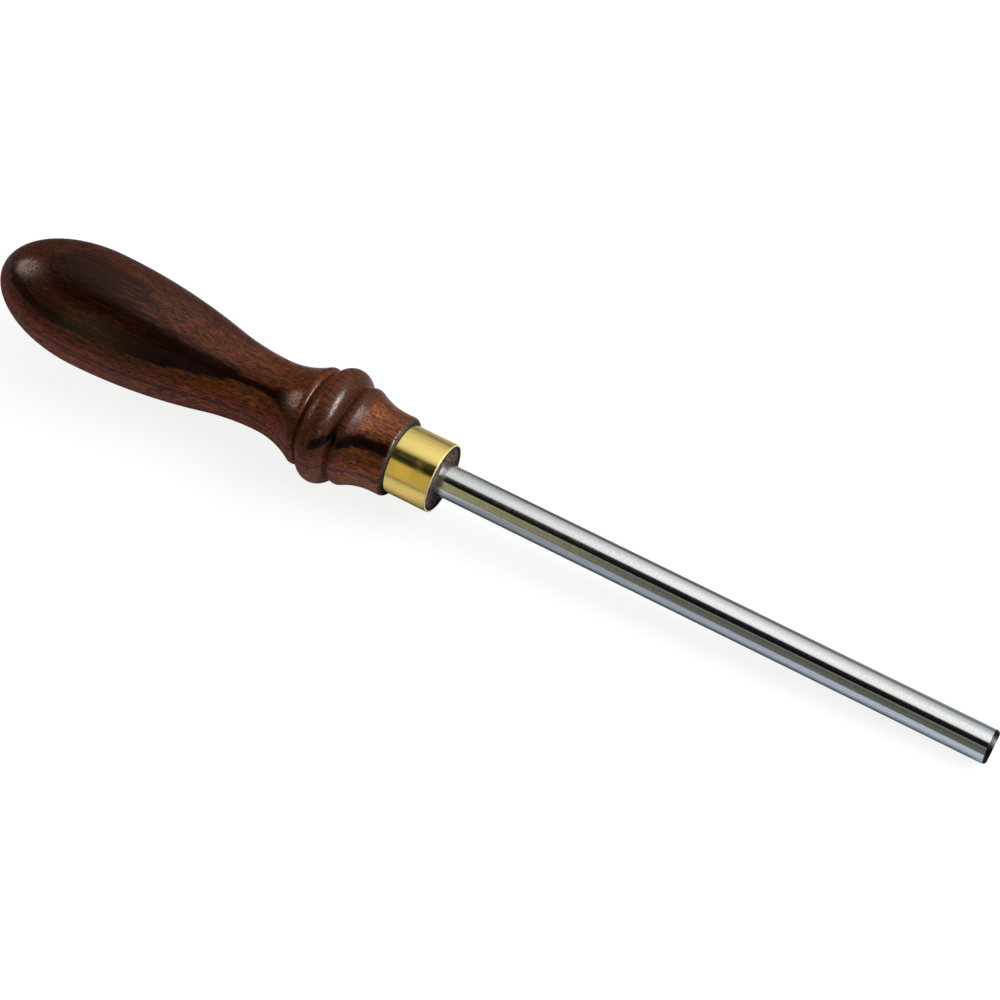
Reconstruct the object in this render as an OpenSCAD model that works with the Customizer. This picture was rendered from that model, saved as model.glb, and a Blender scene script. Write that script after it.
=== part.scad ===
// Scraper burnisher: a polished steel rod in a turned hardwood handle with a brass ferrule.
// The tool's axis is X, with the tip towards +X. The origin is on the axis at the face of the
// handle's lip, where the ferrule starts: places towards the tip are positive, and places
// towards the butt are negative.

/* [Handle] */
// Length from the lip's face back to the butt
handle_len = 110.6; // [104:0.1:120]
// Largest diameter of the bulb
bulb_d = 29.2; // [26:0.1:34]
// Distance from the lip's face back to the fullest part of the bulb
bulb_pos = 84.2; // [76:0.1:92]
// Diameter at the waist
neck_d = 18.2; // [16:0.1:21]
// Distance from the lip's face back to the waist
neck_pos = 34.9; // [32:0.1:40]
// Radius of the hollow on the bulb's side of the waist
waist_round = 65; // [30:1:80]

/* [Collar] */
// Diameter over the small roll at the top of the flare
collar_d = 24.6; // [23.4:0.1:27]
// Radius of that roll
collar_round = 1.4; // [0.8:0.1:2]
// Diameter over the main bead
bead_d = 28.7; // [26:0.1:31]
// Distance from the lip's face back to the middle of the bead
bead_pos = 17.9; // [16.5:0.1:19]
// Radius of the bead's round
bead_round = 4; // [3.2:0.1:4.6]
// Diameter at the bottom of the quirks on both sides of the bead
quirk_d = 22.6; // [21.6:0.1:23.6]
// Width of a quirk's floor
quirk_w = 0.3; // [0.1:0.1:0.8]
// Diameter over the shoulder roll in front of the bead
shoulder_d = 24.3; // [23.4:0.1:27]
// Radius of the shoulder roll
shoulder_round = 2.2; // [1.2:0.1:3]

/* [Lip] */
// Diameter of the land at the front of the handle
lip_d = 19.8; // [19.6:0.1:22]
// Length of that land, with its rounded edge
lip_len = 3.2; // [2:0.1:5]
// Radius of the lip's front edge
lip_round = 1.3; // [0.3:0.1:1.4]

/* [Ferrule] */
// Outside diameter of the brass tube
ferrule_d = 17; // [15:0.1:17.4]
// Wall of the tube
ferrule_wall = 0.5; // [0.4:0.05:1]
// Length of the tube
ferrule_len = 11; // [8:0.1:15]
// Radius on the inner and outer edges of the front rim
rim_round = 0.2; // [0.05:0.05:0.2]
// Radial room between the tube and the spigot
ferrule_fit = 0.01; // [0:0.01:0.05]
// How far the end grain lies behind the front rim
mouth_recess = 0.35; // [0:0.05:1.5]
// Chamfer round the end grain
spigot_chamfer = 0.3; // [0.1:0.05:0.6]

/* [Rod] */
// Diameter of the polished rod
rod_d = 8; // [7:0.1:10]
// Length from the end grain to the tip
rod_free_len = 136.3; // [90:0.1:180]
// Radius of the edge round the flat tip
tip_round = 0.9; // [0.2:0.1:1.5]
// Height of the shoulder between rod and tang, which seats on the end grain
tang_step = 0.2; // [0.1:0.05:1]
// Length of the tang
tang_len = 48; // [30:1:60]
// Chamfer at the end of the tang
tang_chamfer = 0.6; // [0.2:0.1:1.5]
// Radial room round the tang in its bore
tang_fit = 0.02; // [0:0.01:0.1]
// Room left behind the tang, in front of the drill point
bore_spare = 1; // [0.5:0.5:4]
// Included angle of the drill point
drill_angle = 118; // [90:1:140]

/* [Hidden] */

// Largest distance between a round stretch of a profile and its chords
chord_error = 0.004;
// Steps in one turn of a turned shape
turn_steps = 120;
// Reach of a cutter past the face it starts from
cut_over = 1;

ferrule_r = ferrule_d / 2;
spigot_r = ferrule_r - ferrule_wall - ferrule_fit;
end_grain_x = ferrule_len - mouth_recess;
rod_r = rod_d / 2;
tang_r = rod_r - tang_step;
bore_r = tang_r + tang_fit;
tip_x = end_grain_x + rod_free_len;

// Crests and hollows of the handle, as [place along the axis, radius]
bulb = [-bulb_pos, bulb_d / 2];
neck = [-neck_pos, neck_d / 2];
bead = [-bead_pos, bead_d / 2];
land = [-lip_len, lip_d / 2];
collar = [
    bead.x - half_width(bead_d, bead_round) - quirk_w - half_width(collar_d, collar_round),
    collar_d / 2
];
shoulder = [
    bead.x + half_width(bead_d, bead_round) + quirk_w + half_width(shoulder_d, shoulder_round),
    shoulder_d / 2
];

// Angle at which a roll of diameter d and radius r runs down into a quirk
function quirk_angle(d, r) = asin(max(0, min(1, 1 - (d - quirk_d) / 2 / r)));

// Half the width of such a roll, measured at the quirk's floor
function half_width(d, r) = r * cos(quirk_angle(d, r));

// Points of an arc of radius r round centre c, from one angle to the other
function arc(c, r, from, to) =
    let (step = 2 * acos(1 - chord_error / max(r, chord_error)))
    let (n = max(2, ceil(abs(to - from) / step)))
    [for (i = [0:n]) let (a = from + (to - from) * i / n) c + r * [cos(a), sin(a)]];

// A roll over the crest p, between two angles measured from the tip's direction
function roll(p, r, from, to) = arc([p.x, p.y - r], r, from, to);

// The two radii of an ogee from p to q add up to this
function ogee_sum(p, q) = ((q.x - p.x) ^ 2 + (q.y - p.y) ^ 2) / 2 / abs(q.y - p.y);

// S curve that leaves a crest p along the axis and runs into a hollow q, with the hollow's
// radius: two arcs that share a tangent where they meet
function crest_to_hollow(p, q, hollow_r) =
    let (crest_r = ogee_sum(p, q) - hollow_r)
    let (fall = asin((q.x - p.x) / (crest_r + hollow_r)))
    concat(
        arc([p.x, p.y - crest_r], crest_r, 90, 90 - fall),
        arc([q.x, q.y + hollow_r], hollow_r, -90 - fall, -90)
    );

// The same curve from a hollow p up to a crest q
function hollow_to_crest(p, q, crest_r) =
    let (hollow_r = ogee_sum(p, q) - crest_r)
    let (rise = asin((q.x - p.x) / (crest_r + hollow_r)))
    concat(
        arc([p.x, p.y + hollow_r], hollow_r, -90, -90 + rise),
        arc([q.x, q.y - crest_r], crest_r, 90 + rise, 90)
    );

// Quarter ellipse of the butt, from the pole on the axis to the fullest part of the bulb
function butt() =
    let (long = handle_len - bulb_pos)
    let (n = ceil(90 / (2 * acos(1 - chord_error / long))))
    [for (i = [0:n]) [bulb.x - long * cos(90 * i / n), bulb.y * sin(90 * i / n)]];

// Outline of the turned handle, from the butt to the end grain
function handle_outline() =
    let (collar_in = quirk_angle(collar_d, collar_round))
    let (bead_in = quirk_angle(bead_d, bead_round))
    let (shoulder_in = quirk_angle(shoulder_d, shoulder_round))
    concat(
        butt(),
        crest_to_hollow(bulb, neck, waist_round),
        hollow_to_crest(neck, collar, collar_round),
        roll(collar, collar_round, 90, collar_in),
        [
            [collar.x + half_width(collar_d, collar_round), quirk_d / 2],
            [bead.x - half_width(bead_d, bead_round), quirk_d / 2]
        ],
        roll(bead, bead_round, 180 - bead_in, bead_in),
        [
            [bead.x + half_width(bead_d, bead_round), quirk_d / 2],
            [shoulder.x - half_width(shoulder_d, shoulder_round), quirk_d / 2]
        ],
        roll(shoulder, shoulder_round, 180 - shoulder_in, 90),
        crest_to_hollow(shoulder, land, ogee_sum(shoulder, land) - shoulder_round),
        roll([-lip_round, land.y], lip_round, 90, 0),
        [
            [0, spigot_r],
            [end_grain_x - spigot_chamfer, spigot_r],
            [end_grain_x, spigot_r - spigot_chamfer],
            [end_grain_x, 0]
        ]
    );

// Outline of the ferrule's wall, square at the back and rounded at the front rim
function ferrule_outline() =
    let (inner_r = ferrule_r - ferrule_wall)
    concat(
        [[0, inner_r], [0, ferrule_r]],
        arc([ferrule_len - rim_round, ferrule_r - rim_round], rim_round, 90, 0),
        arc([ferrule_len - rim_round, inner_r + rim_round], rim_round, 0, -90)
    );

// Outline of the rod, from the tang's end over the shoulder to the flat tip
function rod_outline() =
    let (tang_x = end_grain_x - tang_len)
    concat(
        [
            [tang_x, 0],
            [tang_x, tang_r - tang_chamfer],
            [tang_x + tang_chamfer, tang_r],
            [end_grain_x, tang_r],
            [end_grain_x, rod_r]
        ],
        arc([tip_x - tip_round, rod_r - tip_round], tip_round, 90, 0),
        [[tip_x, 0]]
    );

// An outline of [place along the axis, radius] points turned about the tool's axis
module turned(outline) {
    rotate([0, 90, 0])
        rotate_extrude($fn = turn_steps)
            polygon([for (p = outline) [p.y, p.x]]);
}

// The blind hole drilled for the tang, with the cone that the drill leaves
module tang_bore() {
    floor_x = end_grain_x - tang_len - bore_spare;
    point_x = floor_x - bore_r / tan(drill_angle / 2);
    turned([
        [point_x, 0],
        [floor_x, bore_r],
        [end_grain_x + cut_over, bore_r],
        [end_grain_x + cut_over, 0]
    ]);
}

module handle() {
    color("#4b2413")
        difference() {
            turned(handle_outline());
            tang_bore();
        }
}

module ferrule() {
    color("#c9a13a")
        turned(ferrule_outline());
}

module rod() {
    color("#b9bec2")
        turned(rod_outline());
}

handle();
ferrule();
rod();
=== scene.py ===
import bpy
import numpy as np
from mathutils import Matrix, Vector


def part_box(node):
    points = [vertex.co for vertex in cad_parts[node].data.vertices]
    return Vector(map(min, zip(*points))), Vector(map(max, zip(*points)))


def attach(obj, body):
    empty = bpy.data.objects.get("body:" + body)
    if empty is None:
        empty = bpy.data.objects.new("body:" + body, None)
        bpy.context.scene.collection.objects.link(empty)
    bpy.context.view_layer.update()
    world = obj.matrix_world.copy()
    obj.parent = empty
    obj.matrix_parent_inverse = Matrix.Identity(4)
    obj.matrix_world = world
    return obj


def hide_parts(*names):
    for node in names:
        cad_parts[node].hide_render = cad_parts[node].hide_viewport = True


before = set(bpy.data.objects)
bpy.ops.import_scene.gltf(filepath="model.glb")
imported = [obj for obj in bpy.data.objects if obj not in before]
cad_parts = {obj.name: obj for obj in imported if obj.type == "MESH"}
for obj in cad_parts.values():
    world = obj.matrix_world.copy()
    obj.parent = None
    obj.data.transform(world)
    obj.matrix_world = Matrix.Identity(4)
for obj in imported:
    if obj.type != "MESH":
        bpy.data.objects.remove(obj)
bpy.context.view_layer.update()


# Handle
# One piece of dark, open-pored hardwood turned on a lathe, sanded and lacquered to a satin gloss. Its spigot
# takes the ferrule, and its blind bore the rod's tang. Sizes are in millimetres along X from the lip's face,
# and those that the frame holds are read from it.
MM = 0.001
handle_low, handle_high = (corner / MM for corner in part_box("handle"))
rod_low, rod_high = (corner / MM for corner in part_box("rod"))

bulb = np.array([-84.2, handle_high.z])
neck = np.array([-34.9, 9.1])
waist_round = 65.0
collar_top, collar_round = 12.3, 1.4
bead = np.array([-17.9, 14.35])
bead_round = 4.0
quirk_floor, quirk_wide = 11.3, 0.3
shoulder_top, shoulder_round = 12.15, 2.2
land = np.array([-3.2, 9.9])
lip_round = 1.3
spigot_r, spigot_chamfer = 7.99, 0.3
end_grain_x = handle_high.x
bore_r, bore_spare = 3.82, 1.0
drill_half_angle = np.radians(59)
drill_bottom = rod_low.x - bore_spare
drill_point = drill_bottom - bore_r / np.tan(drill_half_angle)

HANDLE_ROUND_STEPS, BUTT_STEPS, END_GRAIN_RINGS = 240, 72, 48
CHORD_ERROR, ARC_LEAST, STRAIGHT_HOLD = 0.003, 3, 0.02
SAME_POINT, CREASE = 1e-6, np.radians(32)


def arc(centre, radius, start, stop):
    """Points of a round from angle start to stop, in degrees, with chords that leave it by CHORD_ERROR at most."""
    step = np.degrees(2 * np.arccos(1 - CHORD_ERROR / radius))
    count = int(abs(stop - start) / step) + ARC_LEAST
    turn = np.radians(np.linspace(start, stop, count))
    return np.stack([centre[0] + radius * np.cos(turn), centre[1] + radius * np.sin(turn)], axis=1)


def ogee(crest, hollow, crest_radius=None, hollow_radius=None):
    """An S curve of two touching arcs, level at both ends: the radii add up to (dx^2 + dr^2) / (2 |dr|)."""
    reach, drop = hollow[0] - crest[0], crest[1] - hollow[1]
    radii = (reach ** 2 + drop ** 2) / (2 * drop)
    crest_radius = crest_radius or radii - hollow_radius
    hollow_radius = radii - crest_radius
    lean = np.degrees(np.arcsin(reach / radii))
    over = arc((crest[0], crest[1] - crest_radius), crest_radius, 90, 90 - lean)
    under = arc((hollow[0], hollow[1] + hollow_radius), hollow_radius, -90 - lean, -90)
    line = np.concatenate([over, under])
    return line if reach > 0 else line[::-1]


def straight(start, stop):
    """A straight stretch with a ring close to each end, so that the rounds it meets don't bend its shading."""
    start, stop = np.array(start), np.array(stop)
    step = (stop - start) * STRAIGHT_HOLD / np.linalg.norm(stop - start)
    return np.stack([start, start + step, stop - step, stop])


def roll_foot(top, radius):
    """The angle at which a roll's round comes down to the quirk's floor, and its half width there."""
    foot = np.arcsin(np.clip(1 - (top - quirk_floor) / radius, 0, 1))
    return np.degrees(foot), radius * np.cos(foot)


bead_foot, bead_half = roll_foot(bead[1], bead_round)
collar_foot, collar_half = roll_foot(collar_top, collar_round)
shoulder_foot, shoulder_half = roll_foot(shoulder_top, shoulder_round)
collar = np.array([bead[0] - bead_half - quirk_wide - collar_half, collar_top])
shoulder = np.array([bead[0] + bead_half + quirk_wide + shoulder_half, shoulder_top])

butt_turn = np.radians(np.linspace(0, 90, BUTT_STEPS))
butt_long = bulb[0] - handle_low.x
butt = np.stack([bulb[0] - butt_long * np.cos(butt_turn), bulb[1] * np.sin(butt_turn)], axis=1)
end_grain_radii = np.linspace(spigot_r - spigot_chamfer, bore_r, END_GRAIN_RINGS)
end_grain = np.stack([np.full(END_GRAIN_RINGS, end_grain_x), end_grain_radii], axis=1)
handle_outline = np.concatenate([
    butt,
    ogee(bulb, neck, hollow_radius=waist_round),
    ogee(collar, neck, crest_radius=collar_round),
    arc((collar[0], collar[1] - collar_round), collar_round, 90, collar_foot),
    arc((bead[0], bead[1] - bead_round), bead_round, 180 - bead_foot, bead_foot),
    arc((shoulder[0], shoulder[1] - shoulder_round), shoulder_round, 180 - shoulder_foot, 90),
    ogee(shoulder, land, crest_radius=shoulder_round),
    arc((-lip_round, land[1] - lip_round), lip_round, 90, 0),
    straight((0.0, spigot_r), (end_grain_x - spigot_chamfer, spigot_r)),
    end_grain,
    [(drill_bottom, bore_r), (drill_point, 0.0)],
])
far_enough = np.linalg.norm(np.diff(handle_outline, axis=0), axis=1) > SAME_POINT
handle_outline = handle_outline[np.concatenate([[True], far_enough])]
handle_outline[0, 1] = 0.0


def turned(name, outline, steps, shift_x=None):
    """An outline of (x, radius) points carried once round the X axis: x, -radius sin(angle), radius cos(angle).
    A point on the axis is one pole, and an outline with no pole is closed on itself. shift_x(x, y, z) moves
    points along X, for a face that isn't flat."""
    round_angle = np.arange(steps) * 2 * np.pi / steps
    along, radius = (column[:, None] for column in np.asarray(outline).T)
    grid = np.stack([
        along + 0 * round_angle,
        -radius * np.sin(round_angle),
        radius * np.cos(round_angle),
    ], axis=-1)
    if shift_x:
        grid[..., 0] += shift_x(*np.moveaxis(grid, -1, 0))
    pole = radius[:, 0] < SAME_POINT
    number = np.arange(grid.shape[0] * steps).reshape(-1, steps)
    number[pole] = number[pole, :1]
    kept = np.unique(number)
    number = np.searchsorted(kept, number)
    first, second = (number[:-1], number[1:]) if pole.any() else (number, np.roll(number, -1, axis=0))
    quads = np.stack([first, np.roll(first, -1, 1), np.roll(second, -1, 1), second], axis=-1).reshape(-1, 4)
    starts, stops = quads[:, 0] == quads[:, 1], quads[:, 2] == quads[:, 3]
    faces = quads[~starts & ~stops].tolist()
    faces += quads[starts][:, [0, 2, 3]].tolist() + quads[stops][:, :3].tolist()
    mesh = bpy.data.meshes.new(name)
    mesh.from_pydata((grid.reshape(-1, 3)[kept] * MM).tolist(), [], faces)
    mesh.shade_smooth()
    mesh.set_sharp_from_angle(angle=CREASE)
    piece = bpy.data.objects.new(name, mesh)
    bpy.context.scene.collection.objects.link(piece)
    return piece


PIT_SEED, PIT_COUNT = 8, 420
PIT_DEPTHS, PIT_DEEPEST, PIT_WIDE, PIT_FREE_RIM = (0.02, 0.16), 0.3, 0.22, 0.6


def torn_end_grain(x, y, z):
    """The spigot's sawn face, where the pores open into pits: each seeded pit sinks the face by its depth times
    exp(-(distance / PIT_WIDE)^2), and the pits together by PIT_DEEPEST at most."""
    draw = np.random.default_rng(PIT_SEED)
    pits = draw.uniform(-spigot_r, spigot_r, (PIT_COUNT, 2))
    deep = draw.uniform(*PIT_DEPTHS, PIT_COUNT)
    on_face = np.isclose(x, end_grain_x) & (np.hypot(y, z) < spigot_r - PIT_FREE_RIM)
    apart = np.hypot(y[on_face][:, None] - pits[:, 0], z[on_face][:, None] - pits[:, 1])
    shift = np.zeros_like(x)
    shift[on_face] = -(deep * np.exp(-(apart / PIT_WIDE) ** 2)).sum(axis=1)
    return np.maximum(shift, -PIT_DEEPEST)


handle = turned("turned_handle", handle_outline, HANDLE_ROUND_STEPS, torn_end_grain)


def paint(red, green, blue):
    """A shader's linear colour from screen levels of 0 to 255, by the sRGB curve."""
    level = np.array([red, green, blue]) / 255
    linear = np.where(level <= 0.04045, level / 12.92, ((level + 0.055) / 1.055) ** 2.4)
    return (*linear.tolist(), 1.0)


def link(tree, node, sockets):
    """Sets each socket of a shader node to a value, or links it to another node's output."""
    for socket, value in sockets.items():
        if isinstance(value, bpy.types.NodeSocket):
            tree.links.new(value, node.inputs[socket])
        else:
            node.inputs[socket].default_value = value


def shade(tree, kind, sockets, **settings):
    """Adds a shader node with its settings and its sockets."""
    node = tree.nodes.new("ShaderNode" + kind)
    for name, value in settings.items():
        setattr(node, name, value)
    link(tree, node, sockets)
    return node


def finish_tree(name):
    """A new material, its node tree, its surface shader, and its Object coordinates in millimetres, whole and
    as their three parts."""
    material = bpy.data.materials.new(name)
    material.use_nodes = True
    tree = material.node_tree
    place = shade(tree, "TexCoord", {}).outputs["Object"]
    place = shade(tree, "VectorMath", {0: place, 3: 1 / MM}, operation="SCALE").outputs[0]
    return material, tree, tree.nodes["Principled BSDF"], place, shade(tree, "SeparateXYZ", {0: place}).outputs


def work(tree, operation, first, second=0.0):
    """One sum of two values."""
    return shade(tree, "Math", {0: first, 1: second}, operation=operation).outputs[0]


def times(tree, first, *others):
    """Values multiplied together."""
    for other in others:
        first = work(tree, "MULTIPLY", first, other)
    return first


def rise(tree, value, low, high, below=0.0, above=1.0):
    """A smooth step of a value, from `below` at low to `above` at high."""
    sockets = {0: value, 1: low, 2: high, 3: below, 4: above}
    return shade(tree, "MapRange", sockets, interpolation_type="SMOOTHSTEP").outputs[0]


def band(tree, value, start, full, fade, end):
    """1 where a value lies from full to fade, and 0 before start and after end."""
    return times(tree, rise(tree, value, start, full), rise(tree, value, fade, end, 1.0, 0.0))


def patch(tree, values, edges):
    """The share of a patch: the smooth steps at its edges, each (name of a value, low, high, below, above),
    multiplied together."""
    return times(tree, *(rise(tree, values[name], *step) for name, *step in edges))


def stretched(tree, place, along, across):
    """A place in cells, `along` cells a millimetre on X and `across` cells a millimetre on Y and Z."""
    cells = {0: place, 1: (along, across, across)}
    return shade(tree, "VectorMath", cells, operation="MULTIPLY").outputs[0]


def noise(tree, place, along, across, detail):
    """Noise in stretched cells."""
    sockets = {"Vector": stretched(tree, place, along, across), "Scale": 1.0, "Detail": detail}
    return shade(tree, "TexNoise", sockets).outputs[0]


def marks(tree, place, along, across, detail, **step):
    """Soft-edged marks: a smooth step of noise in stretched cells."""
    return rise(tree, noise(tree, place, along, across, detail), **step)


def sway(tree, place, along, across, reach=1.0):
    """A slow wander about zero, `reach` wide."""
    return times(tree, work(tree, "SUBTRACT", noise(tree, place, along, across, 3.0), 0.5), reach)


def dashes(tree, place, along, across, low, high):
    """Short dashes with the grain: 1 in the middle of a stretched cell and 0 away from it."""
    sockets = {"Vector": stretched(tree, place, along, across), "Scale": 1.0}
    cells = shade(tree, "TexVoronoi", sockets, feature="F1")
    return rise(tree, cells.outputs["Distance"], low, high, 1.0, 0.0)


def axis_distance(tree, place):
    """How far a place is from the tool's axis."""
    flat = stretched(tree, place, 0.0, 1.0)
    return shade(tree, "VectorMath", {0: flat}, operation="LENGTH").outputs["Value"]


def lay(tree, share, under, over, how="MIX"):
    """One colour laid on another by a share."""
    return shade(tree, "Mix", {0: share, 6: under, 7: over}, data_type="RGBA", blend_type=how).outputs[2]


def dye(tree, colour, factor):
    """A colour multiplied by another."""
    return lay(tree, 1.0, colour, factor, "MULTIPLY")


def tint(tree, share, colour, factor):
    """A colour dyed by a share."""
    return lay(tree, share, colour, dye(tree, colour, factor))


def grey(tree, value):
    """A grey of the given level."""
    return shade(tree, "CombineColor", {0: value, 1: value, 2: value}).outputs[0]


def ramp(tree, value, stops):
    """Colours set out along a value, one for each (value, colour) stop from the lowest to the highest."""
    low, high = stops[0][0], stops[-1][0]
    node = shade(tree, "ValToRGB", {0: shade(tree, "MapRange", {0: value, 1: low, 2: high}).outputs[0]})
    elements = node.color_ramp.elements
    for number, (level, colour) in enumerate(stops):
        position = (level - low) / (high - low)
        element = elements[number] if number < 2 else elements.new(position)
        element.position, element.color = position, colour
    return node.outputs[0]


def relief(tree, height, strength, depth):
    """The bump of a surface whose height of 1 stands `depth` millimetres proud."""
    return shade(tree, "Bump", {"Height": height, "Strength": strength, "Distance": depth * MM}).outputs[0]


# Colours by height: the wood's growth layers, paler low down. The paleness there is partly painted light that
# makes up for the dimmer underside.
LAYERS_AND_UNDERSIDE_LIGHT = [
    (-15.0, paint(156, 81, 46)),
    (1.9, paint(152, 77, 43)),
    (2.35, paint(94, 58, 57)),
    (2.8, paint(94, 58, 57)),
    (3.2, paint(147, 71, 40)),
    (5.0, paint(130, 61, 30)),
    (6.2, paint(106, 56, 22)),
    (7.8, paint(96, 51, 19)),
    (8.8, paint(98, 50, 22)),
    (15.0, paint(96, 48, 22)),
]
TONES = [
    (-112.0, (0.56, 0.5, 0.46, 1.0)),
    (-90.0, (0.58, 0.51, 0.46, 1.0)),
    (-58.0, (0.5, 0.47, 0.46, 1.0)),
    (-30.0, (0.6, 0.56, 0.52, 1.0)),
    (-19.0, (0.64, 0.66, 0.66, 1.0)),
    (-15.5, (0.41, 0.47, 0.55, 1.0)),
    (-11.0, (0.46, 0.51, 0.57, 1.0)),
    (-8.5, (0.68, 0.74, 0.82, 1.0)),
    (-4.0, (0.72, 0.77, 0.8, 1.0)),
    (1.0, (0.53, 0.6, 0.68, 1.0)),
]
TONES_SCALE, LAYER_WANDER, FEATHER = 1.85, 1.6, 14.0
WOOD_PATCHES = {
    "bulb_top": ((0.55, 0.57, 0.58, 1.0), [("layer", 4.0, 10.0), ("feathered", -84.0, -48.0, 1.0, 0.0)]),
    # Paler wood with a painted sheen on the top of the cove.
    "cove_top_painted_sheen": ((2.1, 2.1, 2.0, 1.0), [
        ("along", -10.5, -8.0), ("layer", 8.4, 9.8), ("along", -7.0, -4.5, 1.0, 0.55),
    ]),
    # Painted shade: the far side of the waist is darkened where less light falls.
    "far_waist_painted_shade": ((0.68, 0.68, 0.68, 1.0), [
        ("feathered", -70.0, -54.0), ("along", -44.0, -37.0, 1.0, 0.0), ("across", 2.5, 6.0),
    ]),
    "crown": ((0.36, 0.36, 0.36, 1.0), [("layer", 12.6, 13.6), ("feathered", -70.0, -44.0, 1.0, 0.0)]),
}
STREAKS = dict(along=0.02, across=1.4, detail=4.0, low=0.32, high=0.68)
STREAK_SHADE = (0.6, 0.54, 0.54, 1.0)
FIBRES = dict(along=0.2, across=2.8, detail=4.0, low=0.3, high=0.7, below=0.5, above=1.36)


def heartwood(tree, along, across, layer, streaks):
    """Red-brown heartwood: growth layers by height, paler towards the underside, partly as painted light for the
    dimmer underside; toned along the handle, with patches whose ends feather out along the streaks (paler wood
    with a painted sheen on the top of the cove, painted shade on the far side of the waist), and darker between
    the streaks."""
    tone = {0: ramp(tree, along, TONES), 3: TONES_SCALE}
    tone = shade(tree, "VectorMath", tone, operation="SCALE").outputs[0]
    colour = dye(tree, ramp(tree, layer, LAYERS_AND_UNDERSIDE_LIGHT), tone)
    feathered = work(tree, "ADD", along, times(tree, streaks, FEATHER))
    values = {"along": along, "across": across, "layer": layer, "feathered": feathered}
    for factor, edges in WOOD_PATCHES.values():
        colour = tint(tree, patch(tree, values, edges), colour, factor)
    return lay(tree, streaks, dye(tree, colour, STREAK_SHADE), colour)


# The dark front streak is partly a dark streak in the wood itself and partly painted shade: the dark reflection
# that runs along the front is laid into the colour.
VEIN_AND_SHADE_DARK, VEIN_AND_SHADE_PALE = paint(9, 2, 2), paint(24, 8, 6)
VEIN_AND_SHADE_RAGGED_HIGH, VEIN_AND_SHADE_RAGGED_WIDE = 1.6, 6.0
VEIN_AND_SHADE_FROM = [("height", 7.7, 8.3), ("reach", 0.8, 3.8)]
VEIN_AND_SHADE_BODY = [("along", -94.0, -56.0, 0.3, 0.96), ("along", -30.0, -25.0, 1.0, 0.0)]
VEIN_AND_SHADE_STRAND = [
    ("height", 9.3, 10.6, 1.0, 0.0), ("along", -60.0, -25.0, 0.8, 1.0), ("rolls", 0.0, 1.0, 1.0, 0.35),
]
VEIN_AND_SHADE_ROLLS = (-31.0, -27.0, -18.2, -16.4)


def front_vein_and_shade(tree, along, front, layer, ragged):
    """The share of the dark front streak, partly a dark streak in the wood itself and partly painted shade for the
    dark reflection that runs along the front: a broad body on the bulb and waist, and a thin strand that runs on
    to the lip and pales on the collar and bead. Its edges are ragged."""
    values = {
        "along": along,
        "height": work(tree, "ADD", layer, times(tree, ragged, VEIN_AND_SHADE_RAGGED_HIGH)),
        "reach": work(tree, "ADD", front, times(tree, ragged, VEIN_AND_SHADE_RAGGED_WIDE)),
        "rolls": band(tree, along, *VEIN_AND_SHADE_ROLLS),
    }
    wide = work(tree, "MAXIMUM", patch(tree, values, VEIN_AND_SHADE_BODY), patch(tree, values, VEIN_AND_SHADE_STRAND))
    return times(tree, patch(tree, values, VEIN_AND_SHADE_FROM), wide)


FLECKS = dict(along=3.4, across=3.4, detail=3.0, low=0.56, high=0.68)
SAWN = dict(along=1.2, across=1.2, detail=3.0, low=0.43, high=0.58)
SAWN_DARK, SAWN_PALE = paint(24, 15, 13), paint(100, 76, 69)
SAWN_PORE, SAWN_PORES = paint(20, 11, 10), dict(along=2.2, across=2.2, low=0.18, high=0.34)
TORN_FIBRE, TORN_ROUND_ROD, TORN_FLECKS = paint(172, 142, 106), (4.25, 4.7, 1.0, 0.0), (0.4, 0.9)
RIM_SHADOW, RIM_SHADOW_FROM = paint(9, 6, 6), (7.45, 7.68)


def sawn_grain(tree, place, flecks):
    """The end grain's colour: mottled and pored, with pale torn fibres round the rod and a dark edge at the
    ferrule."""
    radius = axis_distance(tree, place)
    grain = lay(tree, marks(tree, place, **SAWN), SAWN_DARK, SAWN_PALE)
    grain = lay(tree, dashes(tree, place, **SAWN_PORES), grain, SAWN_PORE)
    torn = times(tree, rise(tree, radius, *TORN_ROUND_ROD), rise(tree, flecks, *TORN_FLECKS))
    grain = lay(tree, torn, grain, TORN_FIBRE)
    return lay(tree, rise(tree, radius, *RIM_SHADOW_FROM), grain, RIM_SHADOW)


LONG_PORES = dict(along=0.4, across=2.2, low=0.28, high=0.38)
SHORT_PORES = dict(along=0.7, across=3.0, low=0.2, high=0.32)
PORE, PORE_SHARE, PORES_CLOSE = paint(16, 8, 6), 0.9, (0.0, 0.7, 1.0, 0.0)
# The lip's dark grey is painted shade for the dark reflection on its rounded edge; its pale flecks are torn
# fibres.
LIP_PAINTED_SHADE, LIP_FLECK, LIP_FROM, LIP_RAGGED = paint(40, 33, 34), paint(128, 110, 100), (-0.75, -0.35), 0.9
# Painted shadow in the seam where the lip meets the ferrule.
LIP_SEAM_SHADOW, LIP_SEAM_SHADOW_FROM = paint(12, 8, 7), (-0.16, -0.06)
SAWN_FROM = (end_grain_x - 0.45, end_grain_x - 0.4)
LACQUER_ROUGH, PORE_ROUGH, LIP_ROUGH = (0.0, 1.0, 0.23, 0.18), 0.24, 0.7
FIBRE_RELIEF, WOOD_BUMP, WOOD_DEPTH = 0.4, 0.8, 0.03


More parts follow.
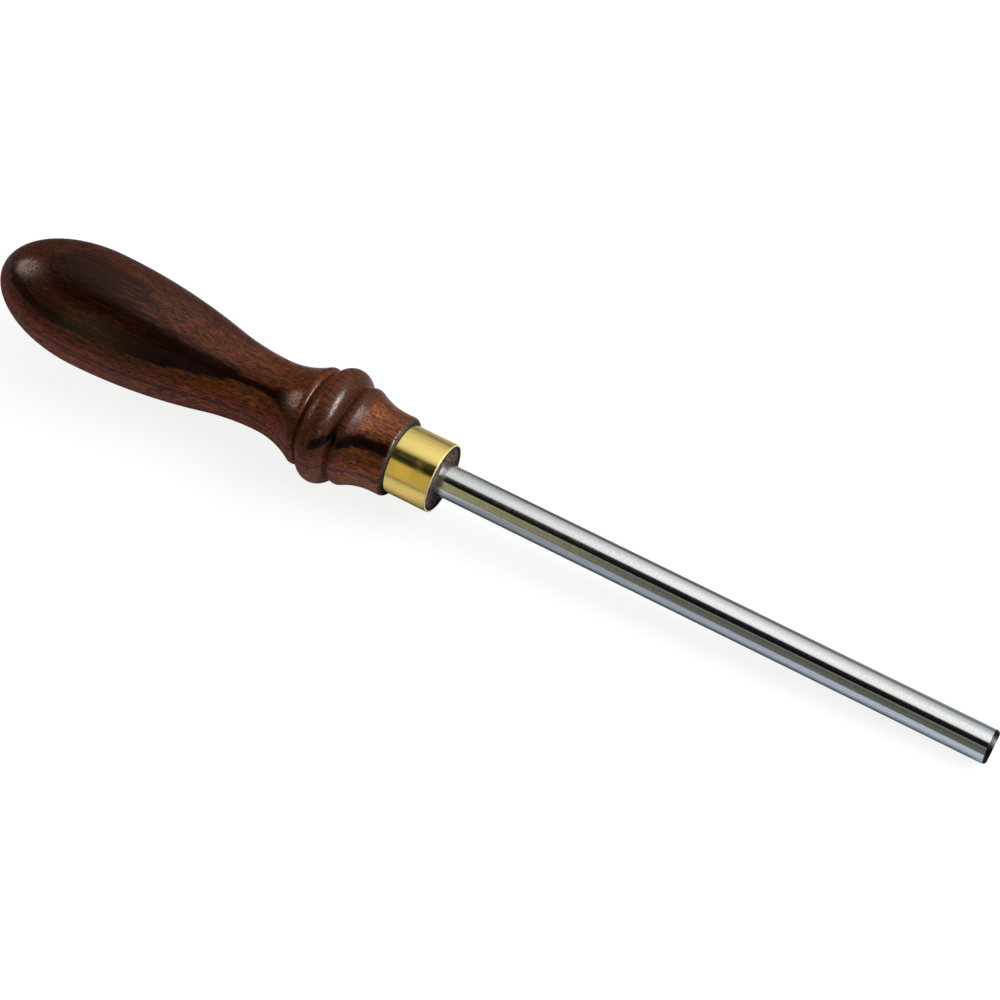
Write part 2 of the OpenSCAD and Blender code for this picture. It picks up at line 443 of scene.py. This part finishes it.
def dark_hardwood():
    """Flat-sawn heartwood under a satin lacquer: level growth layers, a near-black streak along the front that is
    partly painted shade, streaks, fibres, dashed pores that the lacquer fills in that streak, a rough lip painted
    dark grey as shade with pale flecks, a painted shadow at its seam with the ferrule, and porous end grain."""
    material, tree, surface, place, (along, across, up) = finish_tree("lacquered_hardwood")
    front = times(tree, across, -1.0)
    layer = work(tree, "ADD", up, sway(tree, place, 0.035, 0.12, LAYER_WANDER))
    ragged = sway(tree, place, 0.12, 1.1)
    streaks = marks(tree, place, **STREAKS)
    fibres = marks(tree, place, **FIBRES)
    flecks = marks(tree, place, **FLECKS)

    colour = heartwood(tree, along, across, layer, streaks)
    colour = dye(tree, colour, grey(tree, fibres))
    # Painted shade: the front streak's colour stands partly for the dark reflection along the front.
    vein_and_shade = front_vein_and_shade(tree, along, front, layer, ragged)
    colour = lay(tree, vein_and_shade, colour, lay(tree, streaks, VEIN_AND_SHADE_DARK, VEIN_AND_SHADE_PALE))
    pores = work(tree, "MAXIMUM", dashes(tree, place, **LONG_PORES), dashes(tree, place, **SHORT_PORES))
    colour = lay(tree, times(tree, pores, PORE_SHARE), colour, PORE)
    open_pores = times(tree, pores, rise(tree, vein_and_shade, *PORES_CLOSE))

    # The lip is rough, and its dark grey is painted shade; the pale flecks are torn fibres.
    rough_shaded_lip = rise(tree, work(tree, "ADD", along, times(tree, ragged, LIP_RAGGED)), *LIP_FROM)
    colour = lay(tree, rough_shaded_lip, colour, lay(tree, flecks, LIP_PAINTED_SHADE, LIP_FLECK))
    # Painted shadow in the seam at the ferrule.
    colour = lay(tree, rise(tree, along, *LIP_SEAM_SHADOW_FROM), colour, LIP_SEAM_SHADOW)
    colour = lay(tree, rise(tree, along, *SAWN_FROM), colour, sawn_grain(tree, place, flecks))

    lacquer = work(tree, "ADD", rise(tree, streaks, *LACQUER_ROUGH), times(tree, open_pores, PORE_ROUGH))
    height = work(tree, "SUBTRACT", times(tree, fibres, FIBRE_RELIEF), open_pores)
    link(tree, surface, {
        "Base Color": colour,
        "Roughness": work(tree, "MAXIMUM", lacquer, times(tree, rough_shaded_lip, LIP_ROUGH)),
        "Normal": relief(tree, height, WOOD_BUMP, WOOD_DEPTH),
        "Specular IOR Level": 0.2,
        "Specular Tint": (1.0, 0.97, 0.95, 1.0),
    })
    return material


handle.data.materials.append(dark_hardwood())
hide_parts("handle")
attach(handle, "root")


# Ferrule
# A short length of drawn brass tube, faced and polished on the lathe and pressed on the spigot against the lip,
# where it keeps the wood from splitting. Its front rim is eased and stands a little proud of the end grain.
ferrule_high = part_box("ferrule")[1] / MM
ferrule_r, ferrule_len = ferrule_high.z, ferrule_high.x
ferrule_inner = 8.0
rim_round, back_round = 0.2, 0.08
FERRULE_ROUND_STEPS = 240

ferrule_outline = np.concatenate([
    arc((back_round, ferrule_r - back_round), back_round, 180, 90),
    straight((back_round, ferrule_r), (ferrule_len - rim_round, ferrule_r))[1:],
    arc((ferrule_len - rim_round, ferrule_r - rim_round), rim_round, 90, 0)[1:],
    arc((ferrule_len - rim_round, ferrule_inner + rim_round), rim_round, 0, -90),
    straight((ferrule_len - rim_round, ferrule_inner), (0.0, ferrule_inner))[1:],
])
ferrule = turned("brass_ferrule", ferrule_outline, FERRULE_ROUND_STEPS)

BRASS, BRASS_DRAWN = paint(250, 220, 122), paint(255, 230, 140)
DRAWN = dict(along=0.06, across=2.4, detail=2.0, low=0.3, high=0.7)
LATHE = dict(along=3.0, across=0.05, detail=2.0)
CLOUDS = dict(along=0.25, across=0.25, detail=2.0, low=0.35, high=0.7)
DRAWN_ROUGH, CLOUD_ROUGH = (0.0, 1.0, 0.16, 0.22), 0.08
DRAWN_RELIEF, LATHE_RELIEF, BRASS_BUMP, BRASS_DEPTH = 0.6, 0.5, 0.04, 0.02
# The eased front edge is a painted glint: pale cream and mostly not metal, so it looks lit all round.
RIM_PAINTED_GLINT, RIM_FROM, RIM_ROUGH, RIM_GLINT_MATT = paint(216, 196, 146), (ferrule_len - 0.2, ferrule_len - 0.1), 0.55, 0.8
# Painted shade: the inside of the tube is painted dark.
BORE_PAINTED_SHADE, BORE_FROM, BORE_ROUGH = paint(24, 17, 12), (ferrule_inner + 0.04, ferrule_inner + 0.12, 1.0, 0.0), 0.8


def polished_brass():
    """Yellow brass with the faint lines of the drawn tube, light lathe marks and cloudy patches of duller
    polish. Its eased front edge is a painted glint in pale cream, matt and mostly not metal, and the inside of the
    tube is painted dark as shade."""
    material, tree, surface, place, (along, _, _) = finish_tree("polished_brass")
    drawn = marks(tree, place, **DRAWN)
    rim_glint = rise(tree, along, *RIM_FROM)
    bore_shade = rise(tree, axis_distance(tree, place), *BORE_FROM)
    colour = lay(tree, drawn, BRASS, BRASS_DRAWN)
    colour = lay(tree, rim_glint, colour, RIM_PAINTED_GLINT)
    colour = lay(tree, bore_shade, colour, BORE_PAINTED_SHADE)
    clouds = times(tree, marks(tree, place, **CLOUDS), CLOUD_ROUGH)
    rough = work(tree, "ADD", rise(tree, drawn, *DRAWN_ROUGH), clouds)
    for share, level in ((rim_glint, RIM_ROUGH), (bore_shade, BORE_ROUGH)):
        rough = work(tree, "MAXIMUM", rough, times(tree, share, level))
    lathe = times(tree, noise(tree, place, **LATHE), LATHE_RELIEF)
    height = work(tree, "ADD", times(tree, drawn, DRAWN_RELIEF), lathe)
    matt = work(tree, "MAXIMUM", bore_shade, times(tree, rim_glint, RIM_GLINT_MATT))
    link(tree, surface, {
        "Base Color": colour,
        "Metallic": work(tree, "SUBTRACT", 1.0, matt),
        "Roughness": rough,
        "Normal": relief(tree, height, BRASS_BUMP, BRASS_DEPTH),
    })
    return material


ferrule.data.materials.append(polished_brass())
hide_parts("ferrule")
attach(ferrule, "root")


# Rod
# A round bar of hardened tool steel, ground and polished, with a rounded edge at its flat tip. Its slightly
# thinner tang is pressed and glued into the handle's bore.
rod_r, tip_x = rod_high.z, rod_high.x
tip_round = 0.9
tang_r, tang_chamfer = 3.8, 0.6
ROD_ROUND_STEPS = 160

rod_outline = np.concatenate([
    [(rod_low.x, 0.0), (rod_low.x, tang_r - tang_chamfer)],
    [(rod_low.x + tang_chamfer, tang_r), (end_grain_x, tang_r)],
    straight((end_grain_x, rod_r), (tip_x - tip_round, rod_r)),
    arc((tip_x - tip_round, rod_r - tip_round), tip_round, 90, 0)[1:],
    [(tip_x, 0.0)],
])
rod = turned("steel_rod", rod_outline, ROD_ROUND_STEPS)

STEEL, STEEL_SPECK = paint(226, 228, 228), paint(186, 188, 188)
RINGS_ROUGH = dict(along=2.6, across=0.25, detail=4.0, low=0.3, high=0.7, below=0.12, above=0.16)
SPECKS, SPECK_ROUGH = dict(along=5.0, across=1.6, detail=3.0, low=0.64, high=0.76), 0.1
STROKES, STROKE_SHADE = dict(along=4.2, across=1.3, detail=2.0), (0.36, 0.62, 0.91, 1.0)
WAVES = dict(along=0.3, across=0.9, detail=3.0)
STROKE_RELIEF, WAVE_RELIEF, STEEL_BUMP, STEEL_DEPTH = 0.8, 0.4, 0.3, 0.03
# Painted shade: the steel is darker near the handle, where it mirrors less light.
NEAR_HANDLE_SHADE, NEAR_HANDLE_SHADE_TO = (0.88, 0.9, 0.87, 1.0), (end_grain_x, end_grain_x + 60.0)
FINER_POLISH = (end_grain_x + 5.0, end_grain_x + 80.0, 1.0, 0.66)
COARSE_ENTRY = (end_grain_x + 0.2, end_grain_x + 1.9, 0.22, 0.1)
BEVEL_LEAN, BEVEL_FROM, BEVEL_ROUGH = 0.1, (tip_x - 0.92, tip_x - 0.8), 0.6
# Painted shade on the tip's bevel: dark below and lighter on top, for the dark reflection there.
BEVEL_SHADED_LOW, BEVEL_LIT_HIGH, BEVEL_TURN = paint(34, 27, 26), paint(70, 70, 72), (-1.5, 1.5)
BEVEL_BROWN, BEVEL_BROWN_FROM = paint(106, 66, 45), (tip_x - 0.45, tip_x - 0.15)


def ground_steel():
    """Bright steel with the rings and short strokes left by grinding and a few matt specks, painted darker near
    the handle as shade, coarser where it enters the handle and finer polished towards the tip, whose bevel is
    matt, browned and painted as shade, dark below and lighter on top."""
    material, tree, surface, place, (along, _, up) = finish_tree("ground_steel")
    specks = marks(tree, place, **SPECKS)
    strokes = noise(tree, place, **STROKES)
    waves = noise(tree, place, **WAVES)
    bevel = rise(tree, work(tree, "ADD", along, times(tree, up, BEVEL_LEAN)), *BEVEL_FROM)
    colour = lay(tree, specks, STEEL, STEEL_SPECK)
    colour = dye(tree, colour, grey(tree, rise(tree, strokes, *STROKE_SHADE)))
    colour = lay(tree, rise(tree, along, *NEAR_HANDLE_SHADE_TO), dye(tree, colour, NEAR_HANDLE_SHADE), colour)
    # The bevel's painted shade, dark below and lighter on top, with brown towards the tip.
    bevel_shade_and_brown = lay(tree, rise(tree, up, *BEVEL_TURN), BEVEL_SHADED_LOW, BEVEL_LIT_HIGH)
    bevel_shade_and_brown = lay(tree, times(tree, rise(tree, along, *BEVEL_BROWN_FROM), waves), bevel_shade_and_brown, BEVEL_BROWN)
    rough = work(tree, "ADD", marks(tree, place, **RINGS_ROUGH), times(tree, specks, SPECK_ROUGH))
    rough = times(tree, rough, rise(tree, along, *FINER_POLISH))
    rough = work(tree, "MAXIMUM", rough, rise(tree, along, *COARSE_ENTRY))
    height = work(tree, "ADD", times(tree, strokes, STROKE_RELIEF), times(tree, waves, WAVE_RELIEF))
    link(tree, surface, {
        "Base Color": lay(tree, bevel, colour, bevel_shade_and_brown),
        "Metallic": 1.0,
        "Roughness": work(tree, "MAXIMUM", rough, times(tree, bevel, BEVEL_ROUGH)),
        "Normal": relief(tree, height, STEEL_BUMP, STEEL_DEPTH),
        "Anisotropic": 1.0,
        "Tangent": shade(tree, "CombineXYZ", {0: 1.0}).outputs[0],
    })
    return material


rod.data.materials.append(ground_steel())
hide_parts("rod")
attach(rod, "root")


# Table
# The white table that the tool lies on. The tool rests on its bead and on the edge of the rod's tip, so the
# table is the plane that touches both rounds from below.
TABLE_HALF = 6.0
bead_centre = np.array([bead[0], -(bead[1] - bead_round)])
tip_centre = np.array([tip_x - tip_round, -(rod_r - tip_round)])
span = tip_centre - bead_centre
table_lean = np.arctan2(span[1], span[0]) + np.arcsin((bead_round - tip_round) / np.hypot(*span))
slope = np.array([np.cos(table_lean), np.sin(table_lean)])
touch = bead_centre + bead_round * np.array([slope[1], -slope[0]])
corner = np.array([[-1, -1], [1, -1], [1, 1], [-1, 1]]) * TABLE_HALF
table_points = np.stack([
    touch[0] * MM + corner[:, 0] * slope[0],
    corner[:, 1],
    touch[1] * MM + corner[:, 0] * slope[1],
], axis=1)
table_mesh = bpy.data.meshes.new("table")
table_mesh.from_pydata(table_points.tolist(), [], [(0, 1, 2, 3)])
table = bpy.data.objects.new("table", table_mesh)
bpy.context.scene.collection.objects.link(table)

TABLE_SEEN, TABLE_BOUNCED = paint(124, 124, 124), paint(214, 216, 218)
TABLE_GLOW, TABLE_MIRRORED = (350.0, 800.0, 0.86, 1.0), 0.0172
TABLE_ALONG = [
    (-140.0, paint(104, 111, 119)),
    (-105.0, paint(141, 151, 162)),
    (-30.0, paint(147, 157, 168)),
    (-14.0, paint(202, 208, 212)),
    (0.0, paint(220, 214, 208)),
    (10.0, paint(146, 156, 167)),
    (75.0, paint(162, 173, 184)),
    (130.0, paint(182, 194, 207)),
]
FAR_SIDE, FAR_SIDE_FROM = (0.47, 0.44, 0.42, 1.0), [("across", -10.0, 60.0)]
BEHIND_ROD, BEHIND_ROD_FROM = (0.56, 0.58, 0.6, 1.0), [("across", 0.0, 14.0), ("along", -2.0, 12.0)]
BEHIND_WAIST, BEHIND_WAIST_FROM = paint(172, 178, 196), [
    ("across", 4.0, 14.0), ("across", 26.0, 44.0, 1.0, 0.0),
    ("along", -100.0, -52.0, 0.3, 1.0), ("along", -26.0, -12.0, 1.0, 0.0),
]
# Painted shadow under the tool, seen only in the metal.
UNDER_TOOL_PAINTED_SHADOW, UNDER_TOOL_FROM = paint(62, 64, 66), [
    ("off_line", 3.0, 15.0, 0.7, 0.0), ("along", 60.0, 140.0, 1.0, 0.6),
]
PAST_TIP, PAST_TIP_FROM = paint(52, 50, 48), [("along", tip_x - 3.0, tip_x + 12.0)]


def white_table():
    """A pale matt top. To the camera it is white, with a soft shadow near the tool. In the metal it shows as
    greys, with a painted shadow under the tool, darker behind it and past its tip and paler behind the waist. To
    bounced light it is pale."""
    material, tree, surface, place, (along, across, _) = finish_tree("white_table")
    path = shade(tree, "LightPath", {}).outputs
    values = {"along": along, "across": across, "off_line": work(tree, "ABSOLUTE", across)}
    top = ramp(tree, along, TABLE_ALONG)
    for factor, edges in ((FAR_SIDE, FAR_SIDE_FROM), (BEHIND_ROD, BEHIND_ROD_FROM)):
        top = tint(tree, patch(tree, values, edges), top, factor)
    for colour, edges in (
        (BEHIND_WAIST, BEHIND_WAIST_FROM), (UNDER_TOOL_PAINTED_SHADOW, UNDER_TOOL_FROM), (PAST_TIP, PAST_TIP_FROM),
    ):
        top = lay(tree, patch(tree, values, edges), top, colour)
    top = lay(tree, path["Is Diffuse Ray"], top, TABLE_BOUNCED)
    top = lay(tree, path["Is Camera Ray"], top, TABLE_SEEN)
    far = shade(tree, "VectorMath", {0: place}, operation="LENGTH").outputs["Value"]
    glow = times(tree, path["Is Camera Ray"], rise(tree, far, *TABLE_GLOW))
    mirrored = work(tree, "ADD", path["Is Glossy Ray"], path["Is Transmission Ray"])
    link(tree, surface, {
        "Base Color": top,
        "Roughness": 0.8,
        "Specular IOR Level": 0.0,
        "Emission Color": (1.0, 1.0, 1.0, 1.0),
        "Emission Strength": work(tree, "ADD", glow, times(tree, mirrored, TABLE_MIRRORED)),
    })
    return material


table_mesh.materials.append(white_table())


# Studio light
# A bright sheet of light from overhead to the far side, which turns and fades along the tool, a dark gap above
# the camera, and a dim room with a warm card in front. A warm softbox stands beyond the butt, and a large one
# with a brighter middle beyond the tip. Angles go round the tool from straight up. The camera sees white.
SHEET = (
    (-180, 0.3), (-100, 0.19), (-88, 0.38), (-74, 0.63), (-62, 0.78), (-50, 0.92), (-38, 1.04),
    (-26, 1.13), (-8, 1.12), (3.4, 0.97), (7.9, 0.06), (11.3, 0.007), (180, 0.007),
)
ROOM = (
    (-180, 0.007), (40.5, 0.007), (42.5, 0.24), (44.5, 0.24), (46.5, 0.15), (50, 0.14), (56, 0.1),
    (67.5, 0.125), (81.5, 0.155), (87.5, 0.11), (93.5, 0.2), (180, 0.3),
)
SHEET_LENGTHWISE = (
    (-0.43, 0.32), (-0.36, 0.44), (-0.26, 0.88), (-0.19, 1.0), (-0.12, 1.0), (0.0, 0.9), (0.4, 0.9),
)
BRIGHTEST = max(level for _, level in SHEET)
SHEET_TURN = np.radians(27)
ROOM_FROM = np.radians((36, 38))
ROOM_TINT, ROOM_GAP, ROOM_GAP_AT = (1.0, 1.0, 0.86, 1.0), (0.55, 0.6, 0.8, 1.0), (-0.264, -0.25, -0.2, -0.14)
CARD, CARD_AT, CARD_FROM = (0.8, 0.68, 0.32, 1.0), (-0.5, -0.4, -0.284, -0.264), np.radians((38.5, 42))
ENDS, ENDS_FROM = (0.05, 0.05, 0.052, 1.0), (0.55, 0.85)


def even(level):
    """A grey of a level, as a colour."""
    return (level, level, level, 1.0)


def round_tool(tree, angle, levels):
    """Light levels set out by the angle round the tool, as shares of the brightest."""
    return ramp(tree, angle, [(np.radians(degrees), even(level / BRIGHTEST)) for degrees, level in levels])


world = bpy.data.worlds.new("studio")
bpy.context.scene.world = world
world.use_nodes = True
sky = world.node_tree
aim_x, aim_y, aim_z = shade(sky, "SeparateXYZ", {0: shade(sky, "TexCoord", {}).outputs["Generated"]}).outputs
angle = work(sky, "ARCTAN2", times(sky, aim_y, -1.0), aim_z)
sheet = round_tool(sky, work(sky, "SUBTRACT", angle, times(sky, aim_x, SHEET_TURN)), SHEET)
sheet = dye(sky, sheet, ramp(sky, aim_x, [(x, even(level)) for x, level in SHEET_LENGTHWISE]))
room = dye(sky, round_tool(sky, angle, ROOM), ROOM_TINT)
room = tint(sky, band(sky, aim_x, *ROOM_GAP_AT), room, ROOM_GAP)
room = lay(sky, times(sky, band(sky, aim_x, *CARD_AT), rise(sky, angle, *CARD_FROM)), room, CARD)
studio = lay(sky, rise(sky, angle, *ROOM_FROM), sheet, room)
studio = lay(sky, rise(sky, work(sky, "ABSOLUTE", aim_x), *ENDS_FROM), studio, ENDS)
seen = shade(sky, "LightPath", {}).outputs["Is Camera Ray"]
studio = lay(sky, seen, studio, even(1 / BRIGHTEST))
link(sky, sky.nodes["Background"], {"Color": studio, "Strength": BRIGHTEST})


def softbox(name, aim_from, width, height, glow, colour, lights=True):
    """An oval lamp aimed at the frame's origin, its power set by how bright its face is: glow times pi times
    its area. One that doesn't light is only mirrored, as the bright middle of a larger box."""
    lamp = bpy.data.lights.new(name, "AREA")
    lamp.shape = "ELLIPSE"
    lamp.size, lamp.size_y = width, height
    lamp.energy = glow * np.pi * np.pi / 4 * width * height
    lamp.color = colour
    box = bpy.data.objects.new(name, lamp)
    box.location = aim_from
    box.rotation_euler = (-box.location).to_track_quat("-Z", "Y").to_euler()
    box.visible_camera, box.visible_diffuse = False, lights
    bpy.context.scene.collection.objects.link(box)


WARM, WHITE = (1.0, 0.8, 0.66), (1.0, 1.0, 1.0)
softbox("left_softbox", (-0.945, 0.035, 0.305), width=0.42, height=0.38, glow=7.0, colour=WARM)
softbox("right_softbox", (0.62, 0.32, 0.65), width=0.9, height=0.56, glow=7.0, colour=WHITE)
softbox("right_middle", (0.69, 0.24, 0.61), width=0.8, height=0.38, glow=24.0, colour=WHITE, lights=False)


# Camera
# The photograph's view: from above the rod's tip, 29 degrees round from the front and 61 degrees up, about half
# a metre away.
CAMERA_TURN, CAMERA_RISE = np.radians((29.3, 60.65))
CAMERA_PLACE = (0.14555, -0.21314, 0.43776)
camera_data = bpy.data.cameras.new("camera")
camera_data.lens, camera_data.sensor_width = 79.5, 36.0
camera = bpy.data.objects.new("camera", camera_data)
camera.location = CAMERA_PLACE
camera.rotation_euler = (np.pi / 2 - CAMERA_RISE, 0.0, CAMERA_TURN)
bpy.context.scene.collection.objects.link(camera)
bpy.context.scene.camera = camera
bpy.context.scene.view_settings.view_transform = "Standard"
